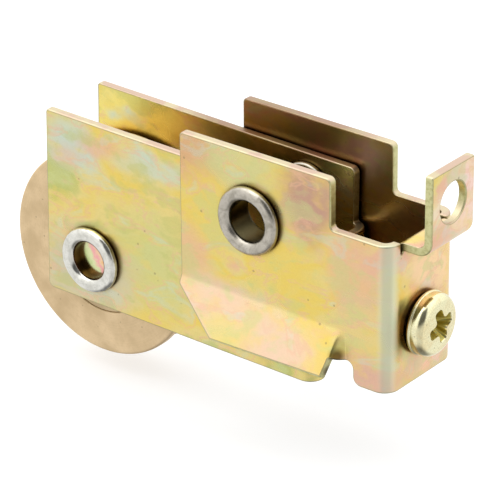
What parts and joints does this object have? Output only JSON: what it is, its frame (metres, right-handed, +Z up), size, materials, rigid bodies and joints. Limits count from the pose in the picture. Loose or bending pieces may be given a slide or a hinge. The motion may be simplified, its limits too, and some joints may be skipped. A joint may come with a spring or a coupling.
{
  "type": "sliding door roller",
  "caption": "Adjustable sliding door roller: a ball bearing steel wheel in a tilting carrier, inside a folded steel housing with an end adjusting screw and a fastening lug.",
  "frame": {"origin": "the pivot axis of the wheel carrier at the mid-plane of the roller", "axes": "+X towards the adjusting screw, +Y across the roller along the pivot axis, +Z up into the door rail"},
  "size_m": [0.0748, 0.0228, 0.0449],
  "materials": {
    "zinc_yellow_sheet": "zinc plated steel sheet with an iridescent yellow chromate film",
    "eyelet_steel": "dull silver plated steel, rolled",
    "rivet_steel": "bright zinc plated steel, rolled",
    "wheel_steel": "matt turned steel with a tan chromate film",
    "bearing_steel": "ground hardened steel",
    "shield_steel": "pressed steel with a tan chromate film",
    "ball_steel": "polished bearing steel",
    "cage_steel": "pressed steel",
    "zinc_yellow_screw": "glossy yellow chromate over zinc plated steel"
  },
  "bodies": {
    "housing": {"housing": "zinc_yellow_sheet", "near_pivot_eyelet": "eyelet_steel", "far_pivot_eyelet": "eyelet_steel"},
    "carrier": {"wheel_carrier": "zinc_yellow_sheet", "axle_rivet": "rivet_steel", "near_axle_washer": "rivet_steel", "far_axle_washer": "rivet_steel", "near_race_cone": "bearing_steel", "far_race_cone": "bearing_steel"},
    "wheel": {"wheel_tyre": "wheel_steel", "bearing_outer_race": "bearing_steel", "near_bearing_shield": "shield_steel", "far_bearing_shield": "shield_steel"},
    "ball_set": {"bearing_balls": "ball_steel", "ball_cage": "cage_steel"},
    "screw_seat": {"screw_washer": "zinc_yellow_screw"},
    "screw": {"adjusting_screw": "zinc_yellow_screw"}
  },
  "joints": [
    {"name": "yoke_tilt", "type": "hinge", "parent": "housing", "child": "carrier", "pos_m": [0, 0, 0], "axis": [0, 1, 0], "range_deg": [-5, 5]},
    {"name": "wheel_spin", "type": "hinge", "parent": "carrier", "child": "wheel", "pos_m": [-0.03032, 0, -0.01572], "axis": [0, 1, 0], "continuous": true},
    {"name": "ball_orbit", "type": "hinge", "parent": "carrier", "child": "ball_set", "pos_m": [-0.03032, 0, -0.01572], "axis": [0, 1, 0], "continuous": true},
    {"name": "screw_rock", "type": "hinge", "parent": "housing", "child": "screw_seat", "pos_m": [0.0244, 0, -0.01163], "axis": [0, 1, 0], "range_deg": [-3.5, 3.5]},
    {"name": "screw_spin", "type": "hinge", "parent": "screw_seat", "child": "screw", "pos_m": [0.0244, 0, -0.01163], "axis": [1, 0, 0], "range_deg": [-350, 350]}
  ],
  "couplings": [
    {"joint": "ball_orbit", "follows": "wheel_spin", "ratio": 0.626},
    {"joint": "screw_rock", "follows": "yoke_tilt", "ratio": -0.656},
    {"joint": "screw_spin", "follows": "yoke_tilt", "ratio": 69}
  ]
}
